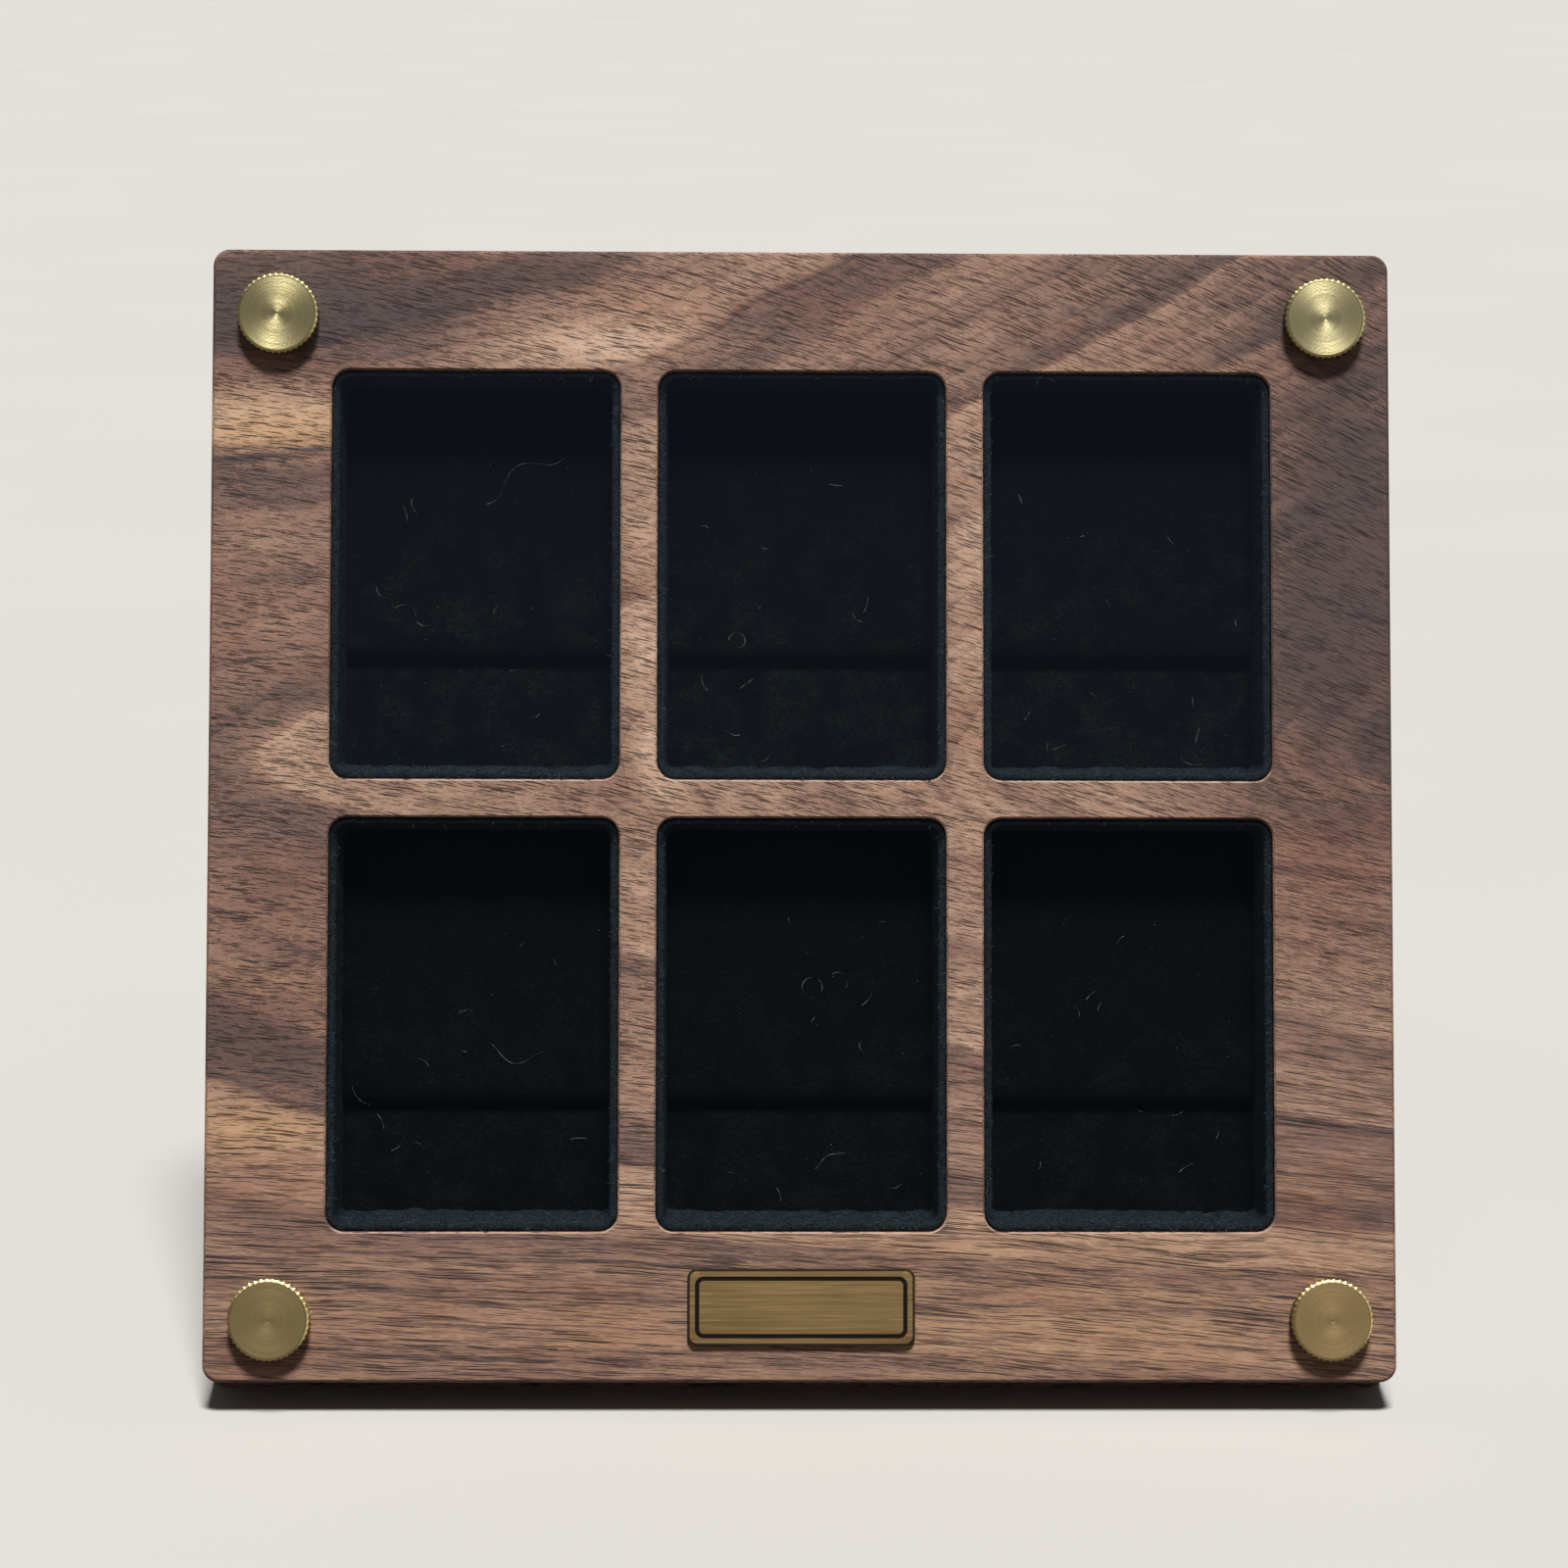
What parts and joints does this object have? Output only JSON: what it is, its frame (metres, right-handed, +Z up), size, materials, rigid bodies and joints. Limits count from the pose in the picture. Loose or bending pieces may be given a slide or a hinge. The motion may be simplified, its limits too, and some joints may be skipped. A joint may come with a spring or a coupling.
{
  "type": "lighter display case",
  "caption": "Small walnut case that leans back on an easel leg and shows pocket lighters in stepped velvet pockets, clamped by knurled brass thumb screws.",
  "frame": {"origin": "middle of the bevelled foot of the back board, on the table", "axes": "+Z up, +X across the case to the right as seen from the front, +Y to the back, towards the easel leg"},
  "size_m": [0.1716, 0.08, 0.1626],
  "materials": {
    "walnut_front": "oiled walnut with dark figure",
    "walnut_back": "oiled walnut, plainer grain",
    "walnut_leg": "oiled walnut",
    "brushed_brass": "brushed along its length, dark engraved border",
    "turned_brass": "lathe-turned face with a straight knurl",
    "stud_brass": "turned",
    "insert_brass": "turned",
    "bracket_brass": "satin sheet",
    "pin_brass": "satin",
    "screw_brass": "satin, slotted",
    "velvet_lining": "black velvet over card",
    "velvet_pad": "black velvet over foam",
    "velvet_floor": "black velvet over card"
  },
  "bodies": {
    "case_back": {"back_board": "walnut_back", "hinge_bracket": "bracket_brass", "hinge_pin": "pin_brass", "bracket_screws": "screw_brass", "pocket_pad_1": "velvet_pad", "pocket_pad_2": "velvet_pad", "pocket_pad_3": "velvet_pad", "pocket_pad_4": "velvet_pad", "pocket_pad_5": "velvet_pad", "pocket_pad_6": "velvet_pad", "pocket_floor_1": "velvet_floor", "pocket_floor_2": "velvet_floor", "pocket_floor_3": "velvet_floor", "pocket_floor_4": "velvet_floor", "pocket_floor_5": "velvet_floor", "pocket_floor_6": "velvet_floor", "threaded_insert_1": "insert_brass", "threaded_insert_2": "insert_brass", "threaded_insert_3": "insert_brass", "threaded_insert_4": "insert_brass"},
    "front_frame": {"front_frame": "walnut_front", "name_plate": "brushed_brass", "pocket_liner_1": "velvet_lining", "pocket_liner_2": "velvet_lining", "pocket_liner_3": "velvet_lining", "pocket_liner_4": "velvet_lining", "pocket_liner_5": "velvet_lining", "pocket_liner_6": "velvet_lining"},
    "stud_1": {"screw_stud_1": "stud_brass"},
    "head_1": {"screw_head_1": "turned_brass"},
    "stud_2": {"screw_stud_2": "stud_brass"},
    "head_2": {"screw_head_2": "turned_brass"},
    "stud_3": {"screw_stud_3": "stud_brass"},
    "head_3": {"screw_head_3": "turned_brass"},
    "stud_4": {"screw_stud_4": "stud_brass"},
    "head_4": {"screw_head_4": "turned_brass"},
    "leg": {"easel_leg": "walnut_leg"}
  },
  "joints": [
    {"name": "frame_lift", "type": "slide", "parent": "case_back", "child": "front_frame", "axis": [0, -0.9613, 0.2756], "range_m": [0, 0.03]},
    {"name": "screw_travel_1", "type": "slide", "parent": "front_frame", "child": "stud_1", "axis": [0, -0.9613, 0.2756], "range_m": [0, 0.0035]},
    {"name": "screw_turn_1", "type": "hinge", "parent": "stud_1", "child": "head_1", "pos_m": [-0.0762, 0.02624, 0.15371], "axis": [0, -0.9613, 0.2756], "range_deg": [0, 1800]},
    {"name": "screw_travel_2", "type": "slide", "parent": "front_frame", "child": "stud_2", "axis": [0, -0.9613, 0.2756], "range_m": [0, 0.0035]},
    {"name": "screw_turn_2", "type": "hinge", "parent": "stud_2", "child": "head_2", "pos_m": [0.0762, 0.02624, 0.15371], "axis": [0, -0.9613, 0.2756], "range_deg": [0, 1800]},
    {"name": "screw_travel_3", "type": "slide", "parent": "front_frame", "child": "stud_3", "axis": [0, -0.9613, 0.2756], "range_m": [0, 0.0035]},
    {"name": "screw_turn_3", "type": "hinge", "parent": "stud_3", "child": "head_3", "pos_m": [-0.0762, -0.01379, 0.01414], "axis": [0, -0.9613, 0.2756], "range_deg": [0, 1800]},
    {"name": "screw_travel_4", "type": "slide", "parent": "front_frame", "child": "stud_4", "axis": [0, -0.9613, 0.2756], "range_m": [0, 0.0035]},
    {"name": "screw_turn_4", "type": "hinge", "parent": "stud_4", "child": "head_4", "pos_m": [0.0762, -0.01379, 0.01414], "axis": [0, -0.9613, 0.2756], "range_deg": [0, 1800]},
    {"name": "leg_fold", "type": "hinge", "parent": "case_back", "child": "leg", "pos_m": [0, 0.03791, 0.10646], "axis": [-1, 0, 0], "range_deg": [0, 28]}
  ],
  "couplings": [
    {"joint": "screw_turn_1", "follows": "screw_travel_1", "rad_per_m": 8976},
    {"joint": "screw_turn_2", "follows": "screw_travel_2", "rad_per_m": 8976},
    {"joint": "screw_turn_3", "follows": "screw_travel_3", "rad_per_m": 8976},
    {"joint": "screw_turn_4", "follows": "screw_travel_4", "rad_per_m": 8976}
  ]
}
